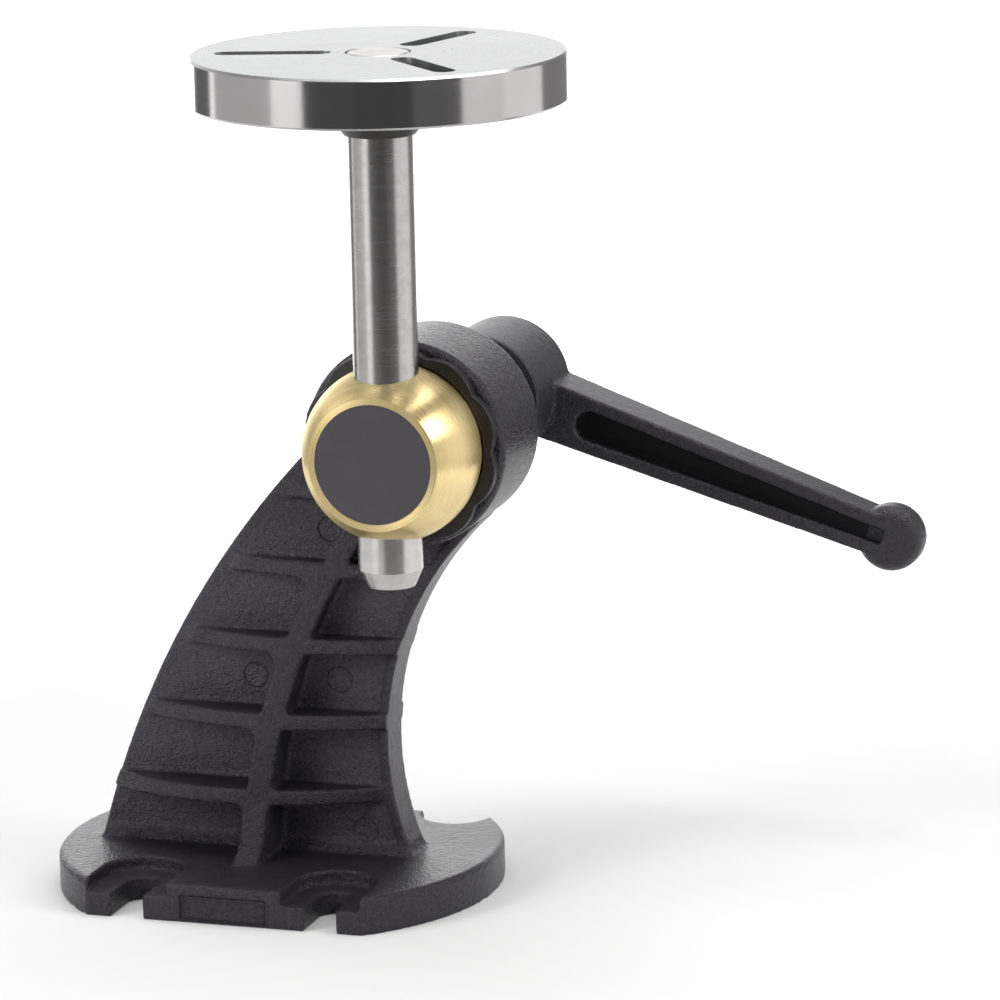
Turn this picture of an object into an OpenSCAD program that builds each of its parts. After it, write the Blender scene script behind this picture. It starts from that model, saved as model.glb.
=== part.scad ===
// Carving vise: a cast stand with a leaning ribbed arm, a clamped brass ball, a sliding post
// with a round faceplate, and a clamping lever behind the socket.
// Millimetres. +Z is up, the origin is the centre of the base plate on the bench, -Y is the front.

/* [Base plate] */
// Radius of the round base plate
base_r = 71; // [66:0.5:80]
// Distance from the centre to the front flat
base_flat = 54.5; // [52:0.5:60]
// Distance from the centre to the rear flat
base_rear = 45; // [43:0.5:48]
// Thickness of the base plate
base_t = 12; // [10:0.5:16]
// Width of the four open bolt notches
notch_w = 10.5; // [9:0.5:12]
// Radius of the counterbore round each front notch
notch_cb_r = 13; // [11:0.25:14]
// Depth of the counterbores
notch_cb_depth = 4.5; // [2:0.25:6]
// Sideways place of the front notches
front_notch_x = 32; // [30:0.5:36]
// Distance of the front notches' round ends from the front flat
front_notch_in = 15; // [11:0.5:17]
// Radius of the counterbore round each rear notch
rear_cb_r = 11.5; // [10:0.25:12]
// Sideways place of the rear notches
rear_notch_x = 44.2; // [43:0.2:45]
// Distance of the rear notches' round ends from the rear flat
rear_notch_in = 1.8; // [1:0.2:4]
// Width of the bare recess on the front flat
recess_w = 27.6; // [20:0.2:32]
// Height of the bare recess on the front flat
recess_h = 7.2; // [4:0.2:8]
// Depth of the bare recess on the front flat
recess_depth = 0.9; // [0.3:0.1:1.5]
// Chamfer round the top edge of the base plate
base_edge = 1.2; // [0.5:0.1:2]

/* [Arm] */
// Thickness of the arm's flat web
web_t = 11; // [8:0.5:14]
// Distance of the arm's left foot from the centre
foot_left = 59; // [54:0.5:62]
// Lean of the left edge at the foot, in degrees
left_lean = 15.1; // [12:0.1:18]
// Radius of the long left edge
left_r = 298; // [260:1:340]
// Distance of the arm's narrow right waist from the centre
waist_x = 39; // [34:0.5:44]
// Height of the right waist
waist_z = 49; // [42:0.5:56]
// Radius of the hollow right edge
right_r = 97.5; // [85:0.5:115]
// Width of the raised rim along the right edge
rim_w = 3; // [2:0.25:5]
// Height of the raised rim above the web
rim_h = 1.6; // [1:0.1:3]
// Height of the lowest cross rib
rib_first = 31.5; // [28:0.5:36]
// Spacing of the cross ribs
rib_pitch = 24.3; // [22:0.1:26]
// Thickness of the cross ribs
rib_t = 5; // [4:0.25:7]
// Thickness of the long central rib
spine_t = 7.8; // [6:0.2:10]
// Sideways place of the central rib at the foot
spine_x = -1.4; // [-4:0.2:4]
// Lean of the central rib above its bend, in degrees
spine_lean = 30; // [26:0.5:32]
// Radius of the central rib's bend
spine_r = 185; // [170:1:200]
// Radius of the corners under the cross ribs, left of the central rib
rib_corner = 4; // [2:0.5:6]
// How far the ribs stand proud of the web at the foot
proud_low = 16; // [13:0.5:18]
// How far the ribs would stand proud of the web at the socket's height
proud_high = 2.6; // [2:0.2:5]
// Reach of the central rib's foot from the middle of the web
spine_reach = 31.5; // [28:0.5:34]
// Fillet between the arm and the base plate
foot_fillet = 4; // [2:0.5:6]
// Radius of the round marks left on the web by the mould
mark_r = 4; // [3:0.25:5]
// Depth of the round marks
mark_depth = 0.3; // [0.2:0.1:0.6]
// Distance of the round marks to the left of the central rib
mark_left = 12.6; // [11:0.2:15]
// Distance of the round marks to the right of the central rib
mark_right = 15.9; // [13:0.2:17]

/* [Socket] */
// Sideways place of the socket's axis
axis_x = 51; // [48:0.5:54]
// Height of the socket's axis
axis_z = 147.5; // [144:0.5:152]
// Distance of the ball's centre in front of the web's middle
ball_out = 30; // [29:0.5:33]
// Outer radius of the cast collar
collar_r = 32.5; // [32:0.25:36]
// Length of the cast collar
collar_len = 36.5; // [32:0.5:40]
// Radius of the rear boss
boss_r = 17; // [15:0.5:20]
// Length of the rear boss behind the collar
boss_len = 31; // [22:0.1:32]
// Outer radius of the socket ring at its lobes
ring_r = 31.5; // [30.5:0.25:32]
// Number of lobes on the socket ring
ring_lobes = 10; // [8:1:14]
// Thickness of the socket ring's flange
ring_t = 4; // [3:0.5:5]
// Radius of the socket ring's spigot
spigot_r = 28; // [27.5:0.25:28.5]
// Length of the socket ring's spigot
spigot_len = 8; // [6:0.5:9]
// Distance of the socket ring's front behind the ball's centre
ring_back = 7; // [6.9:0.1:8]

/* [Ball and post] */
// Radius of the ball
ball_r = 27.6; // [27:0.1:28]
// Distance of the ball's front flat from its centre
ball_flat = 18.2; // [18:0.1:18.6]
// Radius of the disc in the front flat
disc_r = 18.6; // [16:0.2:19]
// Thickness of the disc in the front flat
disc_t = 0.9; // [0.5:0.1:1]
// Depth of the recess for the disc
disc_recess = 1; // [1:0.1:1.2]
// How far the post's axis lies in front of the ball's centre
post_fwd = 3.5; // [3.4:0.1:3.7]
// Diameter of the post
post_d = 20; // [19.5:0.1:20.2]
// Length of the post
post_len = 164.6; // [150:0.2:180]
// How far the post's lower end hangs below the ball's centre
post_drop = 40.6; // [38:0.2:50]
// Height of the chamfer on the post's lower end
post_chamfer_h = 5.4; // [3:0.2:9]
// Depth of the chamfer on the post's lower end
post_chamfer = 2.4; // [1:0.1:3]
// Chamfer on the post's upper end
post_top_edge = 0.9; // [0.3:0.1:1.5]
// Wall of the split bush round the post
bush_wall = 1; // [0.8:0.1:1.1]
// Height of the split bush
bush_h = 12; // [11:0.5:14]
// Width of the slit in the bush
bush_slit = 1.5; // [1:0.25:2.5]
// Wall of the draw bolt's eye
eye_wall = 1.6; // [1.4:0.1:1.8]
// Diameter of the draw bolt
bolt_d = 12; // [10:0.5:12]

/* [Faceplate] */
// Diameter of the faceplate
plate_d = 114.3; // [100:0.5:120]
// Thickness of the faceplate
plate_t = 15.1; // [12:0.1:18]
// Chamfer on the faceplate's edges
plate_edge = 0.7; // [0.3:0.1:1.5]
// Width of the three slots
slot_w = 7.2; // [5:0.1:8]
// Distance of the slots' inner ends from the centre
slot_in = 14.2; // [13.8:0.2:20]
// Distance of the slots' outer ends from the centre
slot_out = 49.5; // [44:0.5:52]
// Direction of the first slot, in degrees
slot_turn = 194; // [180:1:204]
// Upper radius of the lock ring under the faceplate
lock_r = 16.75; // [14:0.25:18]
// Lower radius of the lock ring
lock_low_r = 11; // [10.8:0.1:12.5]
// Height of the lock ring
lock_h = 9.7; // [6:0.1:11]
// Height of the lock ring's cone
lock_cone_h = 7.2; // [4:0.2:8]

/* [Lever] */
// Radius of the lever's hub
hub_r = 21; // [19:0.5:24]
// Length of the lever's hub
hub_len = 36.2; // [34:0.1:44]
// Distance from the hub's axis to the middle of the round end
lever_len = 137.5; // [120:0.5:160]
// Droop of the lever below level, in degrees
lever_droop = 18.6; // [10:0.2:25]
// Height of the lever beside the hub
lever_root_h = 20; // [17:0.5:24]
// Height of the lever at its round end
lever_end_h = 13; // [10:0.5:15]
// Thickness of the lever beside the hub
lever_root_t = 19; // [16:0.5:22]
// Thickness of the lever at its round end
lever_end_t = 12; // [10:0.5:14]
// Radius of the lever's round end
knob_r = 10.7; // [9:0.1:13]
// Rounding of the round end's rim
knob_round = 4; // [2:0.5:4.5]
// Thickness of the wall left between the lever's two grooves
groove_wall = 6; // [5:0.5:8]
// Width of the flanges above and below the grooves
groove_flange = 4.2; // [3.5:0.1:4.5]
// Distance of the grooves' round ends from the hub's axis
groove_start = 34.5; // [32:0.5:40]
// Chamfer on the hub's edges
hub_edge = 1.2; // [0.5:0.1:2]

/* [Lever's inner parts] */
// Radius of the thrust washer
washer_r = 16; // [14:0.5:17]
// Thickness of the thrust washer
washer_t = 1.6; // [1:0.2:2.5]
// Radius of the clamp nut's flange
nut_flange_r = 12.5; // [12:0.25:13]
// Thickness of the clamp nut's flange
nut_flange_t = 2.6; // [2:0.2:4]
// Tip radius of the clamp nut's teeth
teeth_r = 11.2; // [10.8:0.1:11.6]
// Depth of the teeth
teeth_depth = 1.4; // [1:0.1:1.5]
// Length of the teeth along the nut
teeth_len = 4; // [3:0.2:4]
// Number of teeth
teeth = 24; // [18:1:30]
// Length of the clamp nut
nut_len = 16; // [15:0.5:18]
// Length of the draw bolt's thread inside the nut
nut_thread = 10.1; // [9:0.1:11]
// Radius of the nut's plain rear part
nut_body_r = 9; // [8:0.25:9.5]
// Diameter of the retaining screw
screw_d = 8; // [6:0.5:8]
// Radius of the retaining screw's head
head_r = 7.5; // [7:0.1:7.8]
// Height of the retaining screw's head
head_h = 3.5; // [3:0.25:4]
// Width across the flats of the screw's hexagon socket
socket_w = 5; // [4:0.5:6]
// Wall inside the hub that the spring presses on
hub_wall = 2; // [1.5:0.25:2.5]
// Wire diameter of the spring
wire_d = 1.1; // [0.9:0.1:1.2]
// Number of curls in the spring
curls = 3; // [2:0.5:3]

/* [Clearances] */
// Clearance of a turning or sliding fit, on the radius
fit_run = 0.06; // [0.04:0.01:0.08]
// Clearance of a fixed fit, on the radius
fit_fixed = 0.04; // [0.02:0.01:0.06]
// Gap between parts that move past each other
gap = 0.3; // [0.3:0.05:0.5]

/* [Hidden] */
$fn = 96;

cast_black = "#242426";
plastic_black = "#1b1b1d";
steel_grey = "#a9adb0";
dark_steel = "#4a4b4e";
brass_gold = "#c9a24e";

// Places that follow from the sizes above, along the socket's axis from the ball's centre
post_r = post_d / 2;
bolt_r = bolt_d / 2;
screw_r = screw_d / 2;
collar_front = ring_back + ring_t;
collar_rear = collar_front + collar_len;
boss_rear = collar_rear + boss_len;
hub_front = boss_rear + washer_t + gap;
hub_rear = hub_front + hub_len;
lever_mid = hub_rear - lever_root_t / 2;
cavity_r = spigot_r - 4;
cavity_rear = ball_r + 2;
seat_r = ball_r + gap;

// Fits round the post
post_bore_r = post_r + fit_run;
bush_r = post_bore_r + bush_wall;
eye_in_r = bush_r + fit_run;
eye_r = eye_in_r + eye_wall;
pocket_r = eye_r + fit_fixed;
pocket_h = bush_h + 2 * gap;
eye_h = pocket_h - 2 * fit_fixed;

// Places inside the hub, along the socket's axis
nut_rear = hub_front + nut_len;
teeth_front = hub_front + nut_flange_t;
bolt_end = hub_front + nut_thread;
wall_front = nut_rear + gap;
wall_rear = wall_front + hub_wall;
head_front = hub_rear - head_h - 2 * gap;
pocket_wall_r = head_r + 2 * gap;
nut_bay_r = teeth_r + 2 * gap;
flange_bay_r = nut_flange_r + gap;

// Heights on the post
plate_top = axis_z - post_drop + post_len;
plate_bottom = plate_top - plate_t;

// Middle of the circles that the arm's two edges follow
left_cx = -foot_left + left_r * cos(left_lean);
left_cz = base_t - left_r * sin(left_lean);
right_cx = waist_x + right_r;

// Where the arm's right edge runs into the collar, as a direction from the socket's axis
arm_join = -52;
// How deep shapes that are joined run into each other
bite = 1;
// Reach of the cutting shapes past what they cut
far = 200;

// Puts shapes on the socket's axis, with their own Z pointing to the rear and zero at the ball's centre
module on_axis() {
    translate([axis_x, -ball_out, axis_z]) rotate([-90, 0, 0]) children();
}

// Puts shapes upright with zero at the ball's centre
module on_ball() {
    translate([axis_x, -ball_out, axis_z]) children();
}

// Puts shapes on the post's axis with zero at the height of the ball's centre
module on_post() {
    on_ball() translate([0, -post_fwd, 0]) children();
}

// Stands a flat outline in X and Z upright, t thick about the web's middle
module upright(t) {
    rotate([90, 0, 0]) translate([0, 0, -t / 2]) linear_extrude(t) children();
}

// A cone whose axis runs from point p to point q
module cone_between(p, q, r1, r2) {
    d = q - p;
    translate(p) rotate([0, acos(d[2] / norm(d)), atan2(d[1], d[0])]) cylinder(h = norm(d), r1 = r1, r2 = r2);
}

// Round plate with flats at the front and the rear and a chamfer round its top
module base_plate() {
    low = base_t - base_edge;
    difference() {
        intersection() {
            rotate_extrude($fn = 180)
                polygon([[0, 0], [base_r, 0], [base_r, low], [base_r - base_edge, base_t], [0, base_t]]);
            translate([-base_r, 0, 0]) rotate([90, 0, 90]) linear_extrude(2 * base_r)
                polygon([[-base_flat, 0], [base_rear, 0], [base_rear, low], [base_rear - base_edge, base_t],
                         [-base_flat + base_edge, base_t], [-base_flat, low]]);
        }
        bolt_notches();
        translate([-recess_w / 2, -base_flat - bite, (low - recess_h) / 2 - base_edge / 2])
            cube([recess_w, bite + recess_depth, recess_h]);
    }
}

// Two notches that open to the front flat and two that open to the rear flat
module bolt_notches() {
    for (side = [0, 1]) mirror([side, 0, 0]) {
        translate([front_notch_x, front_notch_in - base_flat, 0]) rotate([0, 0, -90]) bolt_notch(notch_cb_r);
        translate([rear_notch_x, base_rear - rear_notch_in, 0]) rotate([0, 0, 90]) bolt_notch(rear_cb_r);
    }
}

// An open notch with a counterbore of radius cb_r, its round end at zero and its mouth along X
module bolt_notch(cb_r) {
    translate([0, 0, -bite]) cylinder(h = base_t + 2 * bite, d = notch_w);
    translate([0, -notch_w / 2, -bite]) cube([far, notch_w, base_t + 2 * bite]);
    translate([0, 0, base_t - notch_cb_depth]) {
        cylinder(h = notch_cb_depth + bite, r = cb_r);
        translate([0, -cb_r, 0]) cube([far, 2 * cb_r, notch_cb_depth + bite]);
    }
}

// Rough outline of the arm, wider than its two curved edges
module arm_blank() {
    join = [axis_x + collar_r * cos(arm_join), axis_z + collar_r * sin(arm_join)];
    top = axis_z + collar_r / 4;
    polygon([[-base_r, base_t - bite], [join[0] - collar_r / 2, base_t - bite], join,
             [axis_x, axis_z], [axis_x, top], [-base_r, top]]);
}

// The arm's outline, t thick, between the long left edge and the hollow right edge
module arm_slab(t) {
    difference() {
        intersection() {
            upright(t) arm_blank();
            translate([left_cx, -t, left_cz]) rotate([-90, 0, 0]) cylinder(h = 2 * t, r = left_r, $fn = 360);
        }
        translate([right_cx, -t, waist_z]) rotate([-90, 0, 0]) cylinder(h = 2 * t, r = right_r, $fn = 240);
    }
}

// Raised rim that follows the hollow right edge
module edge_rim() {
    intersection() {
        arm_slab(web_t + 2 * rim_h);
        translate([right_cx, -web_t, waist_z]) rotate([-90, 0, 0])
            cylinder(h = 2 * web_t, r = right_r + rim_w, $fn = 240);
    }
}

// Outline of the central rib: upright at the foot, then bent over to its lean
function spine_path(x) = [
    [x, base_t - bite],
    for (i = [0 : 8]) let (a = spine_lean * i / 8)
        [x + spine_r * (1 - cos(a)), base_t + spine_r * sin(a)],
    [x + spine_r * (1 - cos(spine_lean)) + (axis_z - base_t - spine_r * sin(spine_lean)) * tan(spine_lean),
     axis_z]
];

module spine_outline() {
    left = spine_path(spine_x - spine_t / 2);
    right = spine_path(spine_x + spine_t / 2);
    polygon(concat(left, [for (i = [len(right) - 1 : -1 : 0]) right[i]]));
}

// Lean of the central rib at height z, and the place of its middle there
function spine_angle(z) = asin(min((z - base_t) / spine_r, sin(spine_lean)));
function spine_at(z) = let (a = spine_angle(z))
    spine_x + spine_r * (1 - cos(a)) + max(0, z - base_t - spine_r * sin(spine_lean)) * tan(spine_lean);

// Rounded corner at p between two straight sides that leave it at angles a1 and a2
module corner(p, a1, a2) {
    half = (a2 - a1) / 2;
    steps = 6;
    reach = rib_corner / tan(half);
    out = [cos(a1 + half), sin(a1 + half)];
    middle = rib_corner / sin(half) * out;
    translate(p) polygon(concat([-bite * out], [for (i = [0 : steps])
        let (a = a1 + 270 - (180 - 2 * half) * i / steps) middle + rib_corner * [cos(a), sin(a)]]));
}

// Rounded corner under the cross rib at height z, on the left of the central rib
module rib_corner_below(z, deep) {
    low = z - rib_t / 2;
    upright(deep) corner([spine_at(low) - spine_t / 2, low], 180, 270 - spine_angle(low));
}

// Rounded front that the ribs fill up to, as a cone that leans with the arm
module rib_front() {
    low_r = 67;
    high_r = 84;
    p = [(waist_x - foot_left) / 2 - rib_t, low_r - web_t / 2 - proud_low, base_t];
    q = [axis_x - spine_t, high_r - web_t / 2 - proud_high, axis_z];
    step = (q - p) / norm(q - p) * base_t;
    cone_between(p - step, q + step, low_r, high_r);
}

// Room that the ribs may fill: the arm's outline between a rounded front and a rounded rear
module rib_room(deep) {
    intersection() {
        arm_slab(deep);
        rib_front();
        mirror([0, 1, 0]) rib_front();
    }
}

module ribs() {
    deep = 2 * spine_reach;
    levels = [rib_first : rib_pitch : axis_z - rib_t];
    intersection() {
        rib_room(deep);
        union() {
            upright(deep) spine_outline();
            for (z = levels) translate([-base_r, -deep / 2, z - rib_t / 2]) cube([2 * base_r, deep, rib_t]);
        }
    }
    intersection() {
        rib_room(deep);
        union() for (z = levels) rib_corner_below(z, deep);
    }
}

// Spread foot of the central rib, front and rear
module spine_foot() {
    low = base_t - bite;
    front = web_t / 2 + proud_low - foot_fillet / 2;
    knee = [front + (spine_reach - front) / 3, base_t + (rib_first - base_t) / 3];
    translate([spine_x - spine_t / 2, 0, 0]) rotate([90, 0, 90]) linear_extrude(spine_t)
        polygon([[-spine_reach, low], [spine_reach, low], [spine_reach, base_t], knee, [front, rib_first],
                 [-front, rib_first], [-knee[0], knee[1]], [-spine_reach, base_t]]);
}

// Round marks of the mould on the front of the web, two on each side of the central rib
module mould_marks() {
    mid = rib_first + rib_pitch * 1.5;
    top = mid + 2 * rib_pitch;
    for (at = [[spine_at(mid) - mark_left, mid], [spine_at(mid) + mark_right, mid],
               [spine_x + 2 * mark_right, rib_first - rib_pitch / 2],
               [spine_at(top) - mark_left * 3 / 4, top]])
        translate([at[0], mark_depth - web_t / 2, at[1]]) rotate([90, 0, 0])
            cylinder(h = mark_depth + bite, r = mark_r);
}

// Sloping fillet along both sides of the arm's foot
module foot_skirt() {
    half = web_t / 2;
    low = base_t - bite;
    reach = foot_fillet + bite;
    right = right_cx - sqrt(right_r * right_r - (waist_z - base_t) * (waist_z - base_t));
    translate([-foot_left + bite, 0, 0]) rotate([90, 0, 90]) linear_extrude(foot_left + right - 2 * bite)
        polygon([[-half - reach, low], [half + reach, low], [half, low + reach], [-half, low + reach]]);
}

// Collar, cone and rear boss in one turned shape
module socket_body() {
    edge = 1.5;
    neck = collar_rear + (collar_r - boss_r) * 0.6;
    on_axis() rotate_extrude()
        polygon([[0, collar_front], [collar_r - edge, collar_front], [collar_r, collar_front + edge],
                 [collar_r, collar_rear - edge], [collar_r - edge, collar_rear],
                 [collar_r - 2 * edge, collar_rear], [boss_r, neck], [boss_r, boss_rear], [0, boss_rear]]);
}

// Room for the socket ring, the ball's rear and the draw bolt
module socket_bores() {
    on_axis() {
        translate([0, 0, collar_front - bite])
            cylinder(h = bite + spigot_len + fit_fixed, r = spigot_r + fit_fixed);
        translate([0, 0, collar_front]) cylinder(h = cavity_rear - collar_front, r = cavity_r);
        cylinder(h = boss_rear + bite, r = bolt_r + fit_run);
    }
}

module base_casting() {
    color(cast_black) difference() {
        union() {
            base_plate();
            arm_slab(web_t);
            edge_rim();
            ribs();
            spine_foot();
            foot_skirt();
            socket_body();
        }
        socket_bores();
        mould_marks();
    }
}

// Ring between the ball and the collar, with a lobed rim and a seat that follows the ball
module socket_ring() {
    rear = collar_front + spigot_len;
    steps = 6;
    seat = [for (i = [0 : steps]) let (z = rear + (ring_back - rear) * i / steps)
        [sqrt(seat_r * seat_r - z * z), z]];
    color(plastic_black) on_axis() {
        rotate_extrude() polygon(concat([[spigot_r, ring_back], [spigot_r, rear]], seat));
        translate([0, 0, ring_back]) linear_extrude(ring_t) difference() {
            lobed_outline();
            circle(r = (spigot_r + seat[steps][0]) / 2);
        }
    }
}

// Rim of round lobes, each an arc about a point between the middle and the rim
module lobed_outline() {
    lobe_r = ring_r * 4 / 9;
    out = ring_r - lobe_r;
    steps = 8;
    polygon([for (i = [0 : ring_lobes - 1], k = [0 : steps - 1])
        let (a = (k / steps - 0.5) * 360 / ring_lobes, turn = (i + k / steps) * 360 / ring_lobes)
        (out * cos(a) + sqrt(lobe_r * lobe_r - pow(out * sin(a), 2))) * [cos(turn), sin(turn)]]);
}

module thrust_washer() {
    color(steel_grey) on_axis() translate([0, 0, boss_rear]) difference() {
        cylinder(h = washer_t, r = washer_r);
        translate([0, 0, -bite]) cylinder(h = washer_t + 2 * bite, r = bolt_r + gap);
    }
}

// Brass ball: front flat with a recess, upright bore for the post, rear pocket for the bolt's eye
module ball() {
    color(brass_gold) on_ball() difference() {
        sphere(r = ball_r);
        translate([-far / 2, -far - ball_flat, -far / 2]) cube(far);
        rotate([90, 0, 0]) translate([0, 0, ball_flat - disc_recess])
            cylinder(h = disc_recess + bite, r = disc_r + fit_fixed);
        translate([0, -post_fwd, -far / 2]) cylinder(h = far, r = post_bore_r);
        translate([0, -post_fwd, -pocket_h / 2]) {
            cylinder(h = pocket_h, r = pocket_r);
            translate([-pocket_r, 0, 0]) cube([2 * pocket_r, far, pocket_h]);
        }
    }
}

module label_disc() {
    color(dark_steel) on_ball() rotate([90, 0, 0]) translate([0, 0, ball_flat - disc_recess])
        cylinder(h = disc_t, r = disc_r);
}

// Clamping bolt: an eye round the post and a long shank to the nut
module draw_bolt() {
    tip = 1.5;
    neck_r = eye_h / 2 - fit_run;
    color(steel_grey) difference() {
        union() {
            on_post() translate([0, 0, -eye_h / 2]) cylinder(h = eye_h, r = eye_r);
            on_axis() rotate_extrude()
                polygon([[0, 0], [neck_r, 0], [neck_r, eye_r], [bolt_r, eye_r + bite],
                         [bolt_r, bolt_end - tip], [bolt_r - tip, bolt_end], [0, bolt_end]]);
        }
        on_post() translate([0, 0, -eye_h]) cylinder(h = 2 * eye_h, r = eye_in_r);
    }
}

// Split bush between the post and the eye
module post_bush() {
    color(brass_gold) on_post() translate([0, 0, -bush_h / 2]) difference() {
        cylinder(h = bush_h, r = bush_r);
        translate([0, 0, -bite]) cylinder(h = bush_h + 2 * bite, r = post_bore_r);
        translate([-bush_slit / 2, -bush_r - bite, -bite]) cube([bush_slit, bush_r, bush_h + 2 * bite]);
    }
}

module post() {
    color(steel_grey) on_post() translate([0, 0, -post_drop]) rotate_extrude()
        polygon([[0, 0], [post_r - post_chamfer, 0], [post_r, post_chamfer_h],
                 [post_r, post_len - post_top_edge], [post_r - post_top_edge, post_len], [0, post_len]]);
}

// Turned plate with three slots at a third of a turn, on the upper end of the post
module faceplate() {
    plate_r = plate_d / 2;
    color(steel_grey) on_post() translate([0, 0, plate_bottom - axis_z]) difference() {
        rotate_extrude($fn = 180)
            polygon([[0, 0], [plate_r - plate_edge, 0], [plate_r, plate_edge],
                     [plate_r, plate_t - plate_edge], [plate_r - plate_edge, plate_t], [0, plate_t]]);
        translate([0, 0, -bite]) cylinder(h = plate_t + 2 * bite, r = post_r + fit_fixed);
        for (i = [0 : 2]) rotate([0, 0, slot_turn + 120 * i]) plate_slot();
    }
}

// One slot with round ends, along X
module plate_slot() {
    half = slot_w / 2;
    deep = plate_t + 2 * bite;
    translate([0, 0, -bite]) {
        for (x = [slot_in + half, slot_out - half]) translate([x, 0, 0]) cylinder(h = deep, r = half);
        translate([slot_in + half, -half, 0]) cube([slot_out - slot_in - slot_w, slot_w, deep]);
    }
}

module plate_lock_ring() {
    color(dark_steel) on_post() translate([0, 0, plate_bottom - lock_h - axis_z]) difference() {
        rotate_extrude()
            polygon([[0, 0], [lock_low_r, 0], [lock_r, lock_cone_h], [lock_r, lock_h], [0, lock_h]]);
        translate([0, 0, -bite]) cylinder(h = lock_h + 2 * bite, r = post_r + fit_fixed);
    }
}

// Toothed outline with slanted flanks
module teeth_outline(grow = 0) {
    root = teeth_r - teeth_depth + grow;
    tip = teeth_r + grow;
    polygon([for (i = [0 : teeth - 1], k = [[0, root], [0.2, tip], [0.5, tip], [0.7, root]])
        k[1] * [cos((i + k[0]) * 360 / teeth), sin((i + k[0]) * 360 / teeth)]]);
}

// Nut with teeth that the lever's hub engages
module clamp_nut() {
    color(dark_steel) on_axis() difference() {
        union() {
            translate([0, 0, hub_front]) cylinder(h = nut_flange_t, r = nut_flange_r);
            translate([0, 0, hub_front]) cylinder(h = nut_len, r = nut_body_r);
            translate([0, 0, teeth_front - bite]) linear_extrude(teeth_len + bite) teeth_outline();
        }
        translate([0, 0, hub_front - bite]) cylinder(h = nut_thread + bite + gap, r = bolt_r + fit_run);
        translate([0, 0, hub_front]) cylinder(h = nut_len + bite, r = screw_r + fit_fixed);
    }
}

// Screw that keeps the lever and its spring on the nut
module retaining_screw() {
    color(dark_steel) on_axis() difference() {
        union() {
            translate([0, 0, bolt_end + 2 * gap])
                cylinder(h = head_front - bolt_end - 2 * gap, r = screw_r);
            translate([0, 0, head_front]) cylinder(h = head_h, r = head_r);
        }
        translate([0, 0, head_front + head_h / 2]) cylinder(h = head_h, d = socket_w / cos(30), $fn = 6);
    }
}

// Middle of the spring's wire after a share s of its length
spring_r = (pocket_wall_r + screw_r) / 2;
spring_low = wall_rear + wire_d / 2 + fit_fixed;
spring_high = head_front - wire_d / 2 - fit_fixed;
spring_rings = 8 * curls;
wire_sides = 6;
function spring_point(s) = [spring_r * cos(360 * curls * s), spring_r * sin(360 * curls * s),
                            spring_low + (spring_high - spring_low) * s];
spring_step = norm(spring_point(1 / curls) - spring_point(0)) - wire_d;
echo(spring_least_gap = spring_step);

// One unbroken tube of wire, its rings standing upright on the coil
module index_spring() {
    points = [for (i = [0 : spring_rings], k = [0 : wire_sides - 1])
        let (s = i / spring_rings, turn = 360 * curls * s, a = 360 * k / wire_sides, c = spring_point(s))
        c + wire_d / 2 * [cos(a) * cos(turn), cos(a) * sin(turn), sin(a)]];
    last = spring_rings * wire_sides;
    walls = [for (i = [0 : spring_rings - 1], k = [0 : wire_sides - 1])
        let (a = i * wire_sides + k, b = i * wire_sides + (k + 1) % wire_sides)
        each [[a, a + wire_sides, b], [b, a + wire_sides, b + wire_sides]]];
    ends = [for (k = [1 : wire_sides - 2]) each [[0, k, k + 1], [last, last + k + 1, last + k]]];
    color(steel_grey) on_axis() polyhedron(points = points, faces = concat(walls, ends));
}

// Half of a straight taper from a to b, at a distance x of the lever's length
function taper(a, b, x) = (a + (b - a) * x / lever_len) / 2;

// Lever seen from the front: tapered bar along X
module lever_side() {
    polygon([[0, -lever_root_h / 2], [lever_len, -lever_end_h / 2],
             [lever_len, lever_end_h / 2], [0, lever_root_h / 2]]);
}

// Groove seen from the front: round at the hub, tapered with the lever
module groove_side() {
    reach = lever_len - knob_round / 2;
    start_h = taper(lever_root_h, lever_end_h, groove_start) - groove_flange;
    end_h = taper(lever_root_h, lever_end_h, reach) - groove_flange;
    translate([groove_start, 0]) circle(r = start_h);
    polygon([[groove_start, -start_h], [reach, -end_h], [reach, end_h], [groove_start, start_h]]);
}

// Lever seen from above: tapered in thickness about its middle
module lever_plan() {
    polygon([[0, -lever_root_t / 2], [lever_len, -lever_end_t / 2],
             [lever_len, lever_end_t / 2], [0, lever_root_t / 2]]);
}

module lever_knob() {
    half = lever_end_t / 2;
    translate([lever_len, 0, 0]) rotate_extrude() {
        polygon([[0, -half], [knob_r - knob_round, -half], [knob_r - knob_round, half], [0, half]]);
        translate([0, -half + knob_round]) square([knob_r, lever_end_t - 2 * knob_round]);
        for (side = [-1, 1])
            translate([knob_r - knob_round, side * (half - knob_round)]) circle(r = knob_round);
    }
}

module lever_bar() {
    difference() {
        union() {
            intersection() {
                translate([0, 0, -lever_root_t / 2]) linear_extrude(lever_root_t) lever_side();
                rotate([90, 0, 0]) translate([0, 0, -lever_root_h / 2])
                    linear_extrude(lever_root_h) lever_plan();
            }
            lever_knob();
        }
        for (side = [0, 1]) mirror([0, 0, side]) translate([0, 0, groove_wall / 2])
            linear_extrude(lever_root_t) groove_side();
    }
}

module lever_hub() {
    translate([0, 0, hub_front]) rotate_extrude()
        polygon([[0, 0], [hub_r - hub_edge, 0], [hub_r, hub_edge], [hub_r, hub_len - hub_edge],
                 [hub_r - hub_edge, hub_len], [0, hub_len]]);
}

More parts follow.
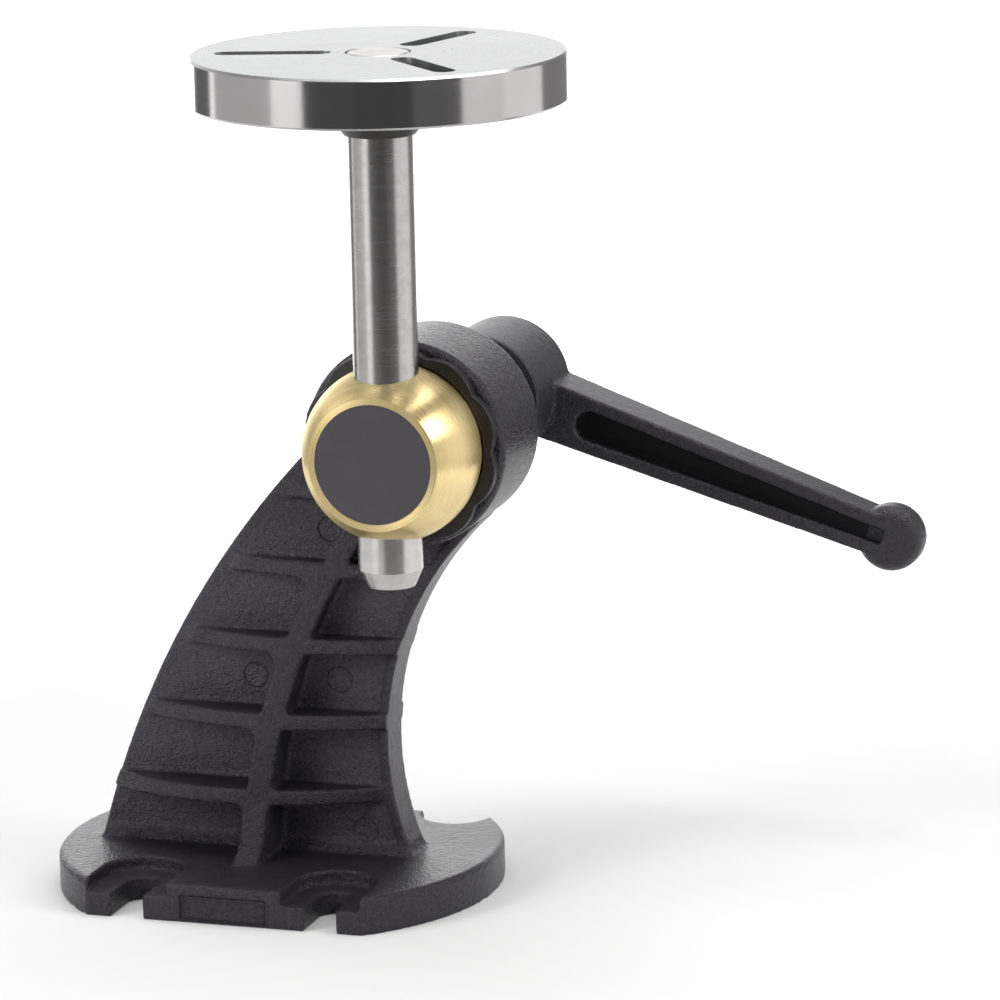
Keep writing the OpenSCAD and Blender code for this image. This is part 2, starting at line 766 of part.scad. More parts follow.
// Bays in the hub for the nut, the spring and the screw
module hub_bays() {
    translate([0, 0, hub_front - bite]) cylinder(h = nut_flange_t + bite + gap, r = flange_bay_r);
    translate([0, 0, teeth_front]) linear_extrude(teeth_len + gap) teeth_outline(gap);
    translate([0, 0, teeth_front + teeth_len + gap])
        cylinder(h = wall_front - teeth_front - teeth_len - gap, r = nut_bay_r);
    translate([0, 0, hub_front]) cylinder(h = hub_len, r = screw_r + gap);
    translate([0, 0, wall_rear]) cylinder(h = hub_len, r = pocket_wall_r);
}

// One moulded piece: hub, tapered bar with a groove on each face, and a round end
module lever() {
    color(plastic_black) on_axis() difference() {
        union() {
            lever_hub();
            rotate([0, 0, lever_droop]) translate([0, 0, lever_mid]) lever_bar();
        }
        hub_bays();
    }
}

base_casting();
socket_ring();
thrust_washer();
ball();
label_disc();
draw_bolt();
post_bush();
post();
faceplate();
plate_lock_ring();
clamp_nut();
retaining_screw();
index_spring();
lever();
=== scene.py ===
"""Carving vise: finishes, soft cast and moulded edges, studio light and the photograph's camera."""
import math
from collections import namedtuple

import bmesh
import bpy
from mathutils import Matrix, Vector


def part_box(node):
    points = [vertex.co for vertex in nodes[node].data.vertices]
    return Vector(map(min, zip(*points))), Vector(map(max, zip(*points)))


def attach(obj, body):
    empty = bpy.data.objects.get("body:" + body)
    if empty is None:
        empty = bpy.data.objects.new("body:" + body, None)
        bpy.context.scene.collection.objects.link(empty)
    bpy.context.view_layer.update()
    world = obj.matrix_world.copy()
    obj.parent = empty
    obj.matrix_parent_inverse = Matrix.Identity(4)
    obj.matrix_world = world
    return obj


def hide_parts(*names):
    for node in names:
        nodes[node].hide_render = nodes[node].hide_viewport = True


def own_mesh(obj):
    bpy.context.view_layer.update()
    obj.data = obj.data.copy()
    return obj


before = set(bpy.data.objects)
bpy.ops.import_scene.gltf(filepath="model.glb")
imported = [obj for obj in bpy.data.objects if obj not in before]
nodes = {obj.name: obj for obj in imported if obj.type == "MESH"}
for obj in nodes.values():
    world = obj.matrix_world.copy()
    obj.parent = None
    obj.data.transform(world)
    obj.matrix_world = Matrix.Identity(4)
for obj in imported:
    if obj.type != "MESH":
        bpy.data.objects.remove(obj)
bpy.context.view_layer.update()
scene = bpy.context.scene
MM = 0.001

# Places of the solids that the pieces and finishes follow
SOCKET = Vector((51.0, -30.0, 147.5)) * MM
POST = Vector((51.0, -33.5, 147.5)) * MM
PLATE_RADIUS = 57.15 * MM
LEVER_MID_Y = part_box("lever")[1].y - 9.5 * MM
HUB_FACE_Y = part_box("lever")[0].y
LEVER_DROOP = math.radians(18.6)
ALONG_Y = (math.radians(90), 0.0, 0.0)
SAME_CORNER = 1e-6

# Marks of the stand's mould: circles on the web, by X and Z in millimetres, and the rim of the recess in front
PIN_PLACES = ((-5.3, 67.95), (23.2, 67.95), (30.4, 19.35), (21.0, 116.55))
PIN_RADIUS, PIN_LINE = 4.0 * MM, 0.45 * MM
PIN_HEIGHT = 0.55
RECESS_HALF_WIDTH, RECESS_HALF_HEIGHT = 13.8 * MM, 3.6 * MM
RECESS_MID_Z, RECESS_LINE = 4.8 * MM, 0.5 * MM
BASE_FRONT_Y = -53.0 * MM

# Where the painted light on the web fades out: off the web's middle, and up the arm
WEB_PAINTED_LIGHT_OFF = (5.9 * MM, 7.6 * MM)
WEB_PAINTED_LIGHT_TOP = (108.0 * MM, 120.0 * MM)

# Grooves of the lever, along the bar from the hub's axis, and where their dull floor and the hub's dull face, both
# darkened with painted shade, fade out
LEVER_LENGTH = 137.5 * MM
GROOVE_HALF_AT_HUB, GROOVE_HALF_AT_END = 6.2 * MM, 2.7 * MM
GROOVE_MID, GROOVE_REACH = 78.5 * MM, 51.5 * MM
GROOVE_FLOOR = (3.4 * MM, 5.2 * MM)
HUB_FACE_DEPTH = (0.5 * MM, 0.9 * MM)
PARTING_LINE, PARTING_HEIGHT = 0.35 * MM, 0.9

# Parts of a noise's range that tones, spots and tool lines use, and the shares of fine and slow grain in the tone
LINE_RANGE = (0.3, 0.7)
TONE_RANGE = (0.36, 0.64)
SPOT_RANGE = (0.62, 0.76)
FINE_SHARE, SLOW_SHARE = 0.65, 0.35
LINE_DRIFT = 0.6

# Gloss of the black finishes, the soft edges' samples and the turn that lays gloss across tool lines
BLACK_GLOSS_TINT = (0.98, 0.92, 1.0, 1.0)
EDGE_SAMPLES = 8
ACROSS_LINES = 0.25
PLATE_RIM = (PLATE_RADIUS - 0.20 * MM, PLATE_RADIUS - 0.08 * MM)

# A part of a surface with painted light or shade: its own mask, colours, least roughness and share of the grain's
# height
Zone = namedtuple("Zone", "where dark light least_rough kept_height", defaults=(0.0, 1.0))


def feed(tree, socket, value):
    """Gives a socket a number or a colour, or links another socket to it."""
    if isinstance(value, bpy.types.NodeSocket):
        tree.links.new(value, socket)
    elif isinstance(value, tuple):
        socket.default_value = (*value, 1.0)
    else:
        socket.default_value = value


def group(name, numbers, outputs):
    """A shader node group that reads a vector and named numbers, and puts out named values."""
    tree = bpy.data.node_groups.new(name, "ShaderNodeTree")
    tree.interface.new_socket("Vector", in_out="INPUT", socket_type="NodeSocketVector")
    for label, number in numbers.items():
        socket = tree.interface.new_socket(label, in_out="INPUT", socket_type="NodeSocketFloat")
        socket.default_value = number
    for label in outputs:
        tree.interface.new_socket(label, in_out="OUTPUT", socket_type="NodeSocketFloat")
    return tree, tree.nodes.new("NodeGroupInput").outputs, tree.nodes.new("NodeGroupOutput").inputs


def maths(tree, operation, *values):
    """A Math node's result; each value is a number or a socket."""
    node = tree.nodes.new("ShaderNodeMath")
    node.operation = operation
    for socket, value in zip(node.inputs, values):
        feed(tree, socket, value)
    return node.outputs[0]


def noise(tree, vector, scale, detail, rough):
    """A Noise texture's value, from about 0.25 to 0.75."""
    node = tree.nodes.new("ShaderNodeTexNoise")
    for key, value in (("Vector", vector), ("Scale", scale), ("Detail", detail), ("Roughness", rough)):
        feed(tree, node.inputs[key], value)
    return node.outputs["Fac"]


def stretch(tree, value, low, high, out_low=0.0, out_high=1.0):
    """Maps a value from one range to another, held at both ends."""
    node = tree.nodes.new("ShaderNodeMapRange")
    for key, number in (("Value", value), ("From Min", low), ("From Max", high),
                        ("To Min", out_low), ("To Max", out_high)):
        feed(tree, node.inputs[key], number)
    return node.outputs["Result"]


def fade_out(tree, value, start, end):
    """1 up to start and 0 from end on."""
    return stretch(tree, value, start, end, 1.0, 0.0)


def mixed(tree, value, dark, light):
    """A colour between two colours, each given as numbers or as a socket."""
    mix = tree.nodes.new("ShaderNodeMix")
    mix.data_type = "RGBA"
    for key, part in (("Factor", value), ("A", dark), ("B", light)):
        feed(tree, mix.inputs[key], part)
    return mix.outputs["Result"]


def split(tree, vector):
    """X, Y and Z of a vector."""
    node = tree.nodes.new("ShaderNodeSeparateXYZ")
    tree.links.new(vector, node.inputs[0])
    return node.outputs


def off_axis(tree, a, b):
    """Length of two values at right angles."""
    squares = maths(tree, "ADD", maths(tree, "MULTIPLY", a, a), maths(tree, "MULTIPLY", b, b))
    return maths(tree, "SQRT", squares)


def off_place(tree, value, place):
    """Distance of a value from a place, to either side."""
    return maths(tree, "ABSOLUTE", maths(tree, "SUBTRACT", value, place))


def make_grain_group():
    """Grain of paint and moulded plastic: fine pimples on slow swells, with a mask of smooth spots."""
    tree, given, result = group("grain", {"Fine Scale": 900.0, "Slow Scale": 150.0, "Slow Share": 0.5},
                                ("Height", "Spots", "Tone"))
    fine = noise(tree, given["Vector"], given["Fine Scale"], detail=2.0, rough=0.55)
    slow = noise(tree, given["Vector"], given["Slow Scale"], detail=2.0, rough=0.5)
    height = maths(tree, "MULTIPLY_ADD", slow, given["Slow Share"], fine)
    tree.links.new(height, result["Height"])
    tree.links.new(stretch(tree, fine, *SPOT_RANGE), result["Spots"])
    both = maths(tree, "MULTIPLY_ADD", fine, FINE_SHARE, maths(tree, "MULTIPLY", slow, SLOW_SHARE))
    tree.links.new(stretch(tree, both, *TONE_RANGE), result["Tone"])
    return tree


def make_turned_group():
    """Fine tool lines round the Z axis, on faces as rings and on sides as hoops, with slow streaks of tone."""
    tree, given, result = group("turned_lines", {"Ring Scale": 4000.0, "Streak Scale": 60.0},
                                ("Height", "Tone", "Radius"))
    x, y, z = split(tree, given["Vector"])
    radius = off_axis(tree, x, y)
    lines = tree.nodes.new("ShaderNodeCombineXYZ")
    tree.links.new(maths(tree, "MULTIPLY", radius, given["Ring Scale"]), lines.inputs[0])
    tree.links.new(maths(tree, "MULTIPLY", z, given["Ring Scale"]), lines.inputs[1])
    tree.links.new(maths(tree, "MULTIPLY", maths(tree, "ARCTAN2", y, x), LINE_DRIFT), lines.inputs[2])
    tree.links.new(noise(tree, lines.outputs[0], 1.0, detail=3.0, rough=0.6), result["Height"])
    slow = noise(tree, given["Vector"], given["Streak Scale"], detail=3.0, rough=0.6)
    tree.links.new(stretch(tree, slow, *LINE_RANGE), result["Tone"])
    tree.links.new(radius, result["Radius"])
    return tree


def make_pin_mark_group():
    """Thin raised circle that a mould's pin leaves on a front wall, round a place in X and Z."""
    tree, given, result = group("pin_mark", {"X": 0.0, "Z": 0.0, "Radius": PIN_RADIUS, "Width": PIN_LINE},
                                ("Height",))
    x, y, z = split(tree, given["Vector"])
    reach = off_axis(tree, maths(tree, "SUBTRACT", x, given["X"]), maths(tree, "SUBTRACT", z, given["Z"]))
    ring = fade_out(tree, off_place(tree, reach, given["Radius"]), 0.0, given["Width"])
    in_front = maths(tree, "LESS_THAN", y, 0.0)
    tree.links.new(maths(tree, "MULTIPLY", ring, in_front), result["Height"])
    return tree


GRAIN = make_grain_group()
TURNED = make_turned_group()
PIN_MARK = make_pin_mark_group()


def new_material(name):
    """A material with its Principled BSDF and Object coordinates."""
    material = bpy.data.materials.new(name)
    material.use_nodes = True
    tree = material.node_tree
    coords = tree.nodes.new("ShaderNodeTexCoord").outputs["Object"]
    return material, tree, tree.nodes["Principled BSDF"], coords


def bump(tree, shader, height, strength, depth, soft_edge=0.0):
    """Bump on the shader's normal, over edges that catch the light as if they were rounder."""
    node = tree.nodes.new("ShaderNodeBump")
    if soft_edge:
        rounder = tree.nodes.new("ShaderNodeBevel")
        rounder.samples = EDGE_SAMPLES
        rounder.inputs["Radius"].default_value = soft_edge
        tree.links.new(rounder.outputs["Normal"], node.inputs["Normal"])
    node.inputs["Strength"].default_value = strength
    node.inputs["Distance"].default_value = depth
    tree.links.new(height, node.inputs["Height"])
    tree.links.new(node.outputs["Normal"], shader.inputs["Normal"])


def centred(tree, coords, centre, turn=None):
    """Coordinates as seen from a centre, turned by three angles."""
    shift = tree.nodes.new("ShaderNodeMapping")
    shift.vector_type = "TEXTURE"
    shift.inputs["Location"].default_value = centre
    shift.inputs["Rotation"].default_value = turn or (0.0, 0.0, 0.0)
    tree.links.new(coords, shift.inputs["Vector"])
    return shift.outputs[0]


def use_group(tree, pattern, vector, **numbers):
    """Places a shader group in a material, with its own numbers."""
    node = tree.nodes.new("ShaderNodeGroup")
    node.node_tree = pattern
    tree.links.new(vector, node.inputs["Vector"])
    for key, number in numbers.items():
        node.inputs[key.replace("_", " ")].default_value = number
    return node.outputs


def grained(name, dark, light, rough, fine, slow, share, strength, depth, extra=None, soft_edge=0.0, zone=None):
    """Black paint or moulded plastic with a grain; extra adds a height of its own, and zone is a part with painted
    light or shade that differs from the rest.
    """
    material, tree, shader, coords = new_material(name)
    grain = use_group(tree, GRAIN, coords, Fine_Scale=fine, Slow_Scale=slow, Slow_Share=share)
    colour, height = mixed(tree, grain["Tone"], dark, light), grain["Height"]
    gloss = stretch(tree, grain["Spots"], 0.0, 1.0, *rough)
    if zone:
        # Painted light or shade: within the zone's mask, its own colours replace the grain's
        mask = zone.where(tree, coords)
        colour = mixed(tree, mask, colour, mixed(tree, grain["Tone"], zone.dark, zone.light))
        height = maths(tree, "MULTIPLY", height, stretch(tree, mask, 0.0, 1.0, 1.0, zone.kept_height))
        gloss = maths(tree, "MAXIMUM", gloss, maths(tree, "MULTIPLY", mask, zone.least_rough))
    tree.links.new(colour, shader.inputs["Base Color"])
    tree.links.new(gloss, shader.inputs["Roughness"])
    shader.inputs["Specular Tint"].default_value = BLACK_GLOSS_TINT
    if extra:
        height = maths(tree, "ADD", height, extra(tree, coords))
    bump(tree, shader, height, strength, depth, soft_edge)
    return material


def mould_marks(tree, coords):
    """The four circles on the front of the arm's web, and the rim of the recess in the base's front flat."""
    marks = [use_group(tree, PIN_MARK, coords, X=x * MM, Z=z * MM)["Height"] for x, z in PIN_PLACES]
    circles = maths(tree, "MAXIMUM", maths(tree, "MAXIMUM", marks[0], marks[1]),
                    maths(tree, "MAXIMUM", marks[2], marks[3]))
    x, y, z = split(tree, coords)
    beside = maths(tree, "SUBTRACT", maths(tree, "ABSOLUTE", x), RECESS_HALF_WIDTH)
    above = maths(tree, "SUBTRACT", off_place(tree, z, RECESS_MID_Z), RECESS_HALF_HEIGHT)
    off_rim = maths(tree, "ABSOLUTE", maths(tree, "MAXIMUM", beside, above))
    rim = maths(tree, "MULTIPLY", fade_out(tree, off_rim, 0.0, RECESS_LINE),
                maths(tree, "LESS_THAN", y, BASE_FRONT_Y))
    return maths(tree, "SUBTRACT", maths(tree, "MULTIPLY", circles, PIN_HEIGHT), rim)


def parting_line(tree, coords):
    """Thin raised line where the two halves of the lever's mould met."""
    off_line = off_place(tree, split(tree, coords)[1], LEVER_MID_Y)
    return stretch(tree, off_line, 0.0, PARTING_LINE, PARTING_HEIGHT, 0.0)


def web_painted_light(tree, coords):
    """1 on the faces of the arm's web, between the ribs, which get painted light: a paler colour than on what stands
    proud.
    """
    places = split(tree, coords)
    flat = fade_out(tree, maths(tree, "ABSOLUTE", places[1]), *WEB_PAINTED_LIGHT_OFF)
    return maths(tree, "MULTIPLY", flat, fade_out(tree, places[2], *WEB_PAINTED_LIGHT_TOP))


def sunken_painted_shade(tree, coords):
    """1 on the floor of the lever's two grooves and on the face of its hub, which are dull from the mould and
    darkened with painted shade.
    """
    lever_coords = centred(tree, coords, (SOCKET.x, LEVER_MID_Y, SOCKET.z), (0.0, LEVER_DROOP, 0.0))
    along, off, up = split(tree, lever_coords)
    half = stretch(tree, along, 0.0, LEVER_LENGTH, GROOVE_HALF_AT_HUB, GROOVE_HALF_AT_END)
    inside = maths(tree, "LESS_THAN", maths(tree, "ABSOLUTE", up), half)
    deep = fade_out(tree, maths(tree, "ABSOLUTE", off), *GROOVE_FLOOR)
    on_bar = maths(tree, "LESS_THAN", off_place(tree, along, GROOVE_MID), GROOVE_REACH)
    groove = maths(tree, "MULTIPLY", maths(tree, "MULTIPLY", inside, deep), on_bar)
    behind_face = maths(tree, "SUBTRACT", split(tree, coords)[1], HUB_FACE_Y)
    return maths(tree, "MAXIMUM", groove, fade_out(tree, behind_face, *HUB_FACE_DEPTH))


def turned_metal(name, dark, light, rough, centre, turn, lines, streaks, strength, depth, brushed=0.0):
    """Metal with fine tool lines round an axis; brushed stretches its gloss across those lines."""
    material, tree, shader, coords = new_material(name)
    marks = use_group(tree, TURNED, centred(tree, coords, centre, turn), Ring_Scale=lines, Streak_Scale=streaks)
    tree.links.new(mixed(tree, marks["Tone"], dark, light), shader.inputs["Base Color"])
    shader.inputs["Metallic"].default_value = 1.0
    tree.links.new(stretch(tree, marks["Height"], *LINE_RANGE, *rough), shader.inputs["Roughness"])
    bump(tree, shader, marks["Height"], strength, depth)
    if brushed:
        round_axis = tree.nodes.new("ShaderNodeTangent")
        round_axis.direction_type = "RADIAL"
        round_axis.axis = "Y" if turn else "Z"
        tree.links.new(round_axis.outputs[0], shader.inputs["Tangent"])
        shader.inputs["Anisotropic"].default_value = brushed
        shader.inputs["Anisotropic Rotation"].default_value = ACROSS_LINES
    return material


def plate_finish(name, top, side, top_rough, side_rough, lines, streaks, strength, depth):
    """Faced steel on the plate's top, polished steel on its rim; top and side are each a dark and a light colour."""
    material, tree, shader, coords = new_material(name)
    marks = use_group(tree, TURNED, centred(tree, coords, POST), Ring_Scale=lines, Streak_Scale=streaks)
    rim = stretch(tree, marks["Radius"], *PLATE_RIM)
    colour = mixed(tree, rim, mixed(tree, marks["Tone"], *top), mixed(tree, marks["Tone"], *side))
    tree.links.new(colour, shader.inputs["Base Color"])
    shader.inputs["Metallic"].default_value = 1.0
    satin = stretch(tree, marks["Height"], *LINE_RANGE, *top_rough)
    bright = stretch(tree, marks["Height"], *LINE_RANGE, *side_rough)
    rough = maths(tree, "ADD", maths(tree, "MULTIPLY", maths(tree, "SUBTRACT", 1.0, rim), satin),
                  maths(tree, "MULTIPLY", rim, bright))
    tree.links.new(rough, shader.inputs["Roughness"])
    bump(tree, shader, marks["Height"], strength, depth)
    return material


# The arm's web between the ribs gets painted light: a paler colour than the rest of the casting.
cast_paint = grained(
    "cast_paint", dark=(0.0086, 0.0077, 0.0095), light=(0.0210, 0.0192, 0.0226), rough=(0.24, 0.15),
    fine=1600.0, slow=560.0, share=0.9, strength=1.0, depth=0.66 * MM, extra=mould_marks, soft_edge=1.4 * MM,
    zone=Zone(web_painted_light, dark=(0.0210, 0.0192, 0.0226), light=(0.0470, 0.0434, 0.0502)))
# The floor of the lever's grooves and the face of its hub get painted shade: darker colours, and a dull finish
# without grain.
lever_plastic = grained(
    "lever_plastic", dark=(0.0085, 0.0082, 0.0092), light=(0.0270, 0.0260, 0.0285), rough=(0.34, 0.25),
    fine=1600.0, slow=520.0, share=0.8, strength=1.0, depth=0.56 * MM, extra=parting_line, soft_edge=0.8 * MM,
    zone=Zone(sunken_painted_shade, dark=(0.0040, 0.0038, 0.0042), light=(0.0060, 0.0058, 0.0062),
              least_rough=0.95, kept_height=0.0))
ring_plastic = grained(
    "ring_plastic", dark=(0.006, 0.006, 0.0066), light=(0.014, 0.0135, 0.0148), rough=(0.42, 0.34),
    fine=1500.0, slow=240.0, share=0.3, strength=0.45, depth=0.3 * MM)
disc_satin = grained(
    "disc_satin", dark=(0.040, 0.0375, 0.041), light=(0.052, 0.049, 0.053), rough=(0.46, 0.40),
    fine=2600.0, slow=120.0, share=0.2, strength=0.2, depth=0.1 * MM)
plate_steel = plate_finish(
    "plate_steel", top=((0.500, 0.502, 0.506), (0.565, 0.568, 0.572)),
    side=((0.56, 0.54, 0.54), (0.63, 0.61, 0.615)), top_rough=(0.25, 0.31), side_rough=(0.09, 0.17),
    lines=5200.0, streaks=26.0, strength=0.06, depth=0.06 * MM)
post_steel = turned_metal(
    "post_steel", dark=(0.50, 0.48, 0.475), light=(0.575, 0.56, 0.555), rough=(0.21, 0.28),
    centre=POST, turn=None, lines=2600.0, streaks=260.0, strength=0.05, depth=0.06 * MM)
ball_brass = turned_metal(
    "ball_brass", dark=(0.80, 0.615, 0.285), light=(0.90, 0.725, 0.385), rough=(0.23, 0.39),
    centre=SOCKET, turn=ALONG_Y, lines=3600.0, streaks=45.0, strength=0.20, depth=0.08 * MM, brushed=0.8)
plain_steel = turned_metal(
    "plain_steel", dark=(0.46, 0.46, 0.46), light=(0.56, 0.56, 0.56), rough=(0.24, 0.34),
    centre=SOCKET, turn=ALONG_Y, lines=3000.0, streaks=80.0, strength=0.1, depth=0.06 * MM)
dark_steel = turned_metal(
    "dark_steel", dark=(0.045, 0.045, 0.047), light=(0.07, 0.07, 0.072), rough=(0.32, 0.42),
    centre=POST, turn=None, lines=3000.0, streaks=80.0, strength=0.1, depth=0.06 * MM)


def paint(obj, material):
    """One material on the whole object."""
    obj.data.materials.clear()
    obj.data.materials.append(material)


for node, material in (("faceplate", plate_steel), ("post", post_steel), ("ball", ball_brass),
                       ("post_bush", ball_brass), ("label_disc", disc_satin), ("plate_lock_ring", dark_steel),
                       ("clamp_nut", dark_steel), ("retaining_screw", dark_steel),
                       ("thrust_washer", plain_steel), ("draw_bolt", plain_steel)):
    paint(nodes[node], material)


def finish_piece(obj, material, body, node):
    """Gives a piece its material and body, and hides the solid that it stands for."""
    paint(obj, material)
    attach(obj, body)
    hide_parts(node)


def shade(mesh, smooth):
    """Smooth or flat shading on a whole mesh."""
    for face in mesh.polygons:
        face.use_smooth = smooth


def add_mesh(name, bm, smooth=True):
    """A new object at the origin from a bmesh."""
    mesh = bpy.data.meshes.new(name)
    bm.to_mesh(mesh)
    bm.free()
    shade(mesh, smooth)
    obj = bpy.data.objects.new(name, mesh)
    scene.collection.objects.link(obj)
    return obj


def merged_copy(name, node):
    """A copy of a solid whose faces share their corners."""
    bm = bmesh.new()
    bm.from_mesh(nodes[node].data)
    bmesh.ops.remove_doubles(bm, verts=bm.verts, dist=SAME_CORNER)
    return add_mesh(name, bm)


def applied(obj):
    """The piece with its modifiers made final."""
    bpy.context.view_layer.update()
    done = bpy.data.meshes.new_from_object(obj.evaluated_get(bpy.context.evaluated_depsgraph_get()))
    obj.modifiers.clear()
    obj.data = done
    shade(done, True)
    return obj


def softened(name, node, voxel, rounds, keep=1.0):
    """A copy of a solid with its edges and inner corners rounded, as a casting or moulding has them."""
    obj = merged_copy(name, node)
    remesh = obj.modifiers.new("remesh", "REMESH")
    remesh.mode = "VOXEL"
    remesh.voxel_size = voxel
    smooth = obj.modifiers.new("smooth", "SMOOTH")
    smooth.factor = 0.5
    smooth.iterations = rounds
    if keep < 1.0:
        thin = obj.modifiers.new("thin", "DECIMATE")
        thin.ratio = keep
    return applied(obj)


casting = softened("casting_skin", "base_casting", voxel=0.66 * MM, rounds=2, keep=0.36)
finish_piece(casting, cast_paint, "stand", "base_casting")
lever = softened("lever_skin", "lever", voxel=0.55 * MM, rounds=4)
finish_piece(lever, lever_plastic, "lever_unit", "lever")
ring = softened("ring_skin", "socket_ring", voxel=0.5 * MM, rounds=3)
finish_piece(ring, ring_plastic, "stand", "socket_ring")

# The spring's coils are made rounder
spring = merged_copy("spring_coil", "index_spring")
rounder = spring.modifiers.new("rounder", "SUBSURF")
rounder.levels = rounder.render_levels = 2
finish_piece(applied(spring), plain_steel, "nut_unit", "index_spring")
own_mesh(spring)


# The photograph's camera: angles in degrees, place in metres
CAMERA_SIDE, CAMERA_RISE, CAMERA_ROLL = 18.3, 12.8, 1.2
CAMERA_PLACE = (0.5982, -1.5802, 0.5054)
CAMERA_LENS, CAMERA_SENSOR, CAMERA_FAR = 198.0, 36.0, 50.0

# The floor's glow rises with the distance from the object; the ceiling greys with the height of a ray
FLOOR_HALF, FLOOR_TONE = 6.0, 0.68
FLOOR_GLOW_REACH, FLOOR_GLOW = (0.25, 0.90), (0.10, 1.0)
CEILING_RISE, CEILING_TONE = (0.24, 0.65), 0.32
WORLD_LIGHT = 0.28

# Cards that only reflections show, swept round the post in steps
CARD_STEPS = 24
CARD_LIFT = 0.6 * MM


def seen_rays(tree):
    """1 for camera, glossy and transmission rays."""
    ray = tree.nodes.new("ShaderNodeLightPath")
    return maths(tree, "MAXIMUM", ray.outputs["Is Camera Ray"],
                 maths(tree, "MAXIMUM", ray.outputs["Is Glossy Ray"], ray.outputs["Is Transmission Ray"]))


def bare_material(name):
    """A material with nothing but its output."""
    material = bpy.data.materials.new(name)
    material.use_nodes = True
    tree = material.node_tree
    tree.nodes.clear()
    return material, tree, tree.nodes.new("ShaderNodeOutputMaterial").inputs["Surface"]


def grey(tone):
    """A grey colour with its alpha."""
    return (tone, tone, tone, 1.0)


def studio_floor():
    """Pale floor: white to the camera, with the object's own shadow on it."""
    bm = bmesh.new()
    bmesh.ops.create_grid(bm, x_segments=1, y_segments=1, size=FLOOR_HALF)
    floor = add_mesh("floor", bm, smooth=False)
    material, tree, surface = bare_material("floor_white")
    diffuse = tree.nodes.new("ShaderNodeBsdfDiffuse")
    diffuse.inputs["Color"].default_value = grey(FLOOR_TONE)
    glow = tree.nodes.new("ShaderNodeEmission")
    places = split(tree, tree.nodes.new("ShaderNodeTexCoord").outputs["Object"])
    level = stretch(tree, off_axis(tree, places[0], places[1]), *FLOOR_GLOW_REACH, *FLOOR_GLOW)
    tree.links.new(maths(tree, "MULTIPLY", seen_rays(tree), level), glow.inputs["Strength"])
    both = tree.nodes.new("ShaderNodeAddShader")
    tree.links.new(diffuse.outputs[0], both.inputs[0])
    tree.links.new(glow.outputs[0], both.inputs[1])
    tree.links.new(both.outputs[0], surface)
    paint(floor, material)


def studio_world():
    """White to the camera and low in reflections, with a greyer ceiling, and soft grey as light."""
    world = bpy.data.worlds.new("studio")
    scene.world = world
    world.use_nodes = True
    tree = world.node_tree
    back = tree.nodes["Background"]
    back.inputs["Color"].default_value = grey(1.0)
    ray = tree.nodes.new("ShaderNodeLightPath")
    height = split(tree, tree.nodes.new("ShaderNodeTexCoord").outputs["Generated"])[2]
    ceiling = stretch(tree, height, *CEILING_RISE, 1.0, CEILING_TONE)
    shown = maths(tree, "MAXIMUM", ray.outputs["Is Camera Ray"], ray.outputs["Is Transmission Ray"])
    shown = maths(tree, "MAXIMUM", shown, maths(tree, "MULTIPLY", ray.outputs["Is Glossy Ray"], ceiling))
    tree.links.new(maths(tree, "MAXIMUM", shown, WORLD_LIGHT), back.inputs["Strength"])


def softbox(name, place, aim, size, watts):
    """Rectangular area lamp at place, turned to aim."""
    lamp = bpy.data.lights.new(name, "AREA")
    lamp.shape = "RECTANGLE"
    lamp.size, lamp.size_y = size
    lamp.energy = watts
    obj = bpy.data.objects.new(name, lamp)
    obj.location = place
    obj.rotation_euler = (Vector(aim) - Vector(place)).to_track_quat("-Z", "Y").to_euler()
    scene.collection.objects.link(obj)


def swept_card(name, start, end, tone, first_point, last_point):
    """Card swept round the post between two bearings, in degrees from the camera's, that only reflections show.

    Each end of the swept line is a distance from the post and a height.
    """
    first = math.radians(CAMERA_SIDE + start)
    bm = bmesh.new()
    ends = [bm.verts.new((POST.x + reach * math.sin(first), POST.y - reach * math.cos(first), height))
            for reach, height in (first_point, last_point)]
    edge = bm.edges.new(ends)
    bmesh.ops.spin(bm, geom=[*ends, edge], cent=(POST.x, POST.y, 0.0), axis=(0.0, 0.0, 1.0),
                   angle=math.radians(end - start), steps=CARD_STEPS, use_merge=False)
    card = add_mesh(name, bm, smooth=False)
    material, tree, surface = bare_material(name)
    glow = tree.nodes.new("ShaderNodeEmission")
    glow.inputs["Color"].default_value = grey(tone)
    tree.links.new(glow.outputs[0], surface)
    paint(card, material)
    card.visible_camera = False
    card.visible_diffuse = False
    card.visible_transmission = False
    card.visible_shadow = False


def band_card(name, start, end, tone, low=0.0, high=0.34, reach=0.52):
    """Upright card that polished steel shows as a band."""
    swept_card(name, start, end, tone, (reach, low), (reach, high))


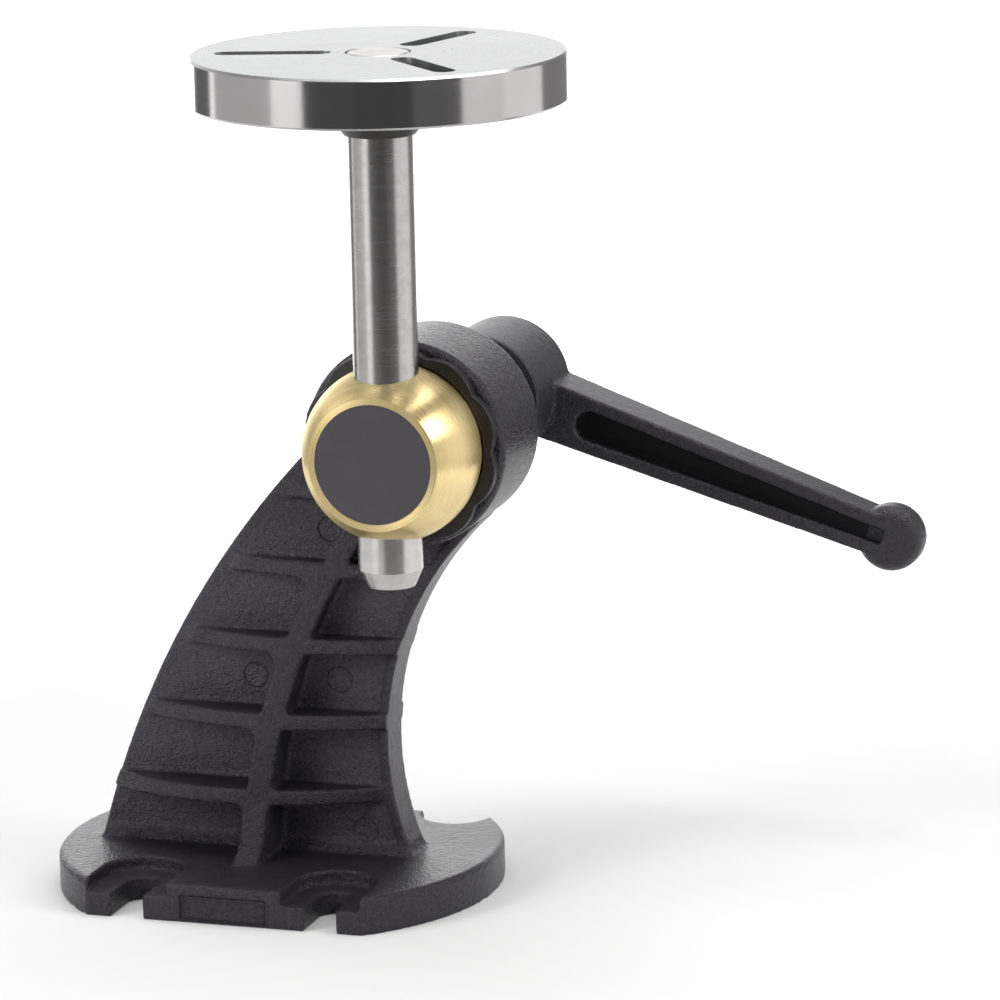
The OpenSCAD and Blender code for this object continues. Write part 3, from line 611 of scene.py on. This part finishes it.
def floor_card(name, start, end, tone, near, far):
    """Card that lies on the floor."""
    swept_card(name, start, end, tone, (near, CARD_LIFT), (far, CARD_LIFT))


def photo_camera():
    """Camera where the photograph was taken from, with a long lens and a slight roll."""
    side, rise, roll = (math.radians(angle) for angle in (CAMERA_SIDE, CAMERA_RISE, CAMERA_ROLL))
    back = Vector((math.sin(side) * math.cos(rise), -math.cos(side) * math.cos(rise), math.sin(rise)))
    level = Vector((math.cos(side), math.sin(side), 0.0))
    upward = back.cross(level)
    right = math.cos(roll) * level - math.sin(roll) * upward
    up = math.sin(roll) * level + math.cos(roll) * upward
    lens = bpy.data.cameras.new("photo_camera")
    lens.sensor_width = CAMERA_SENSOR
    lens.lens = CAMERA_LENS
    lens.clip_end = CAMERA_FAR
    camera = bpy.data.objects.new("photo_camera", lens)
    turn = Matrix((right, up, back)).transposed().to_4x4()
    camera.matrix_world = Matrix.Translation(CAMERA_PLACE) @ turn
    scene.collection.objects.link(camera)
    scene.camera = camera


photo_camera()
studio_floor()
studio_world()
softbox("overhead", place=(0.1, 0.25, 1.35), aim=(0.05, 0.0, 0.1), size=(1.3, 1.0), watts=15.0)
softbox("left_front", place=(-0.95, -0.95, 0.7), aim=(0.03, 0.0, 0.1), size=(0.6, 0.8), watts=15.0)
softbox("right_side", place=(1.25, -0.2, 0.7), aim=(0.05, 0.0, 0.12), size=(0.6, 0.9), watts=10.0)
for card_name, start, end, tone in (("band_far_left", -142.0, -117.0, 0.15), ("band_left", -111.0, -63.5, 0.56),
                                    ("band_bright", -63.5, -43.4, 1.2), ("band_front_left", -43.4, -12.0, 0.085),
                                    ("band_front", -12.0, 20.0, 0.07), ("band_front_right", 20.0, 49.3, 0.13),
                                    ("band_right", 49.3, 78.0, 0.86), ("band_side", 78.0, 112.6, 1.0)):
    band_card(card_name, start, end, tone)
band_card("band_far_right", 112.6, 157.0, 0.26, low=0.03, high=0.62)
band_card("back_glow", 164.0, 216.0, 2.6, low=0.02, high=0.36, reach=0.9)
floor_card("front_shade", -22.0, 49.0, 0.46, near=0.11, far=0.52)

scene.view_settings.view_transform = "Standard"
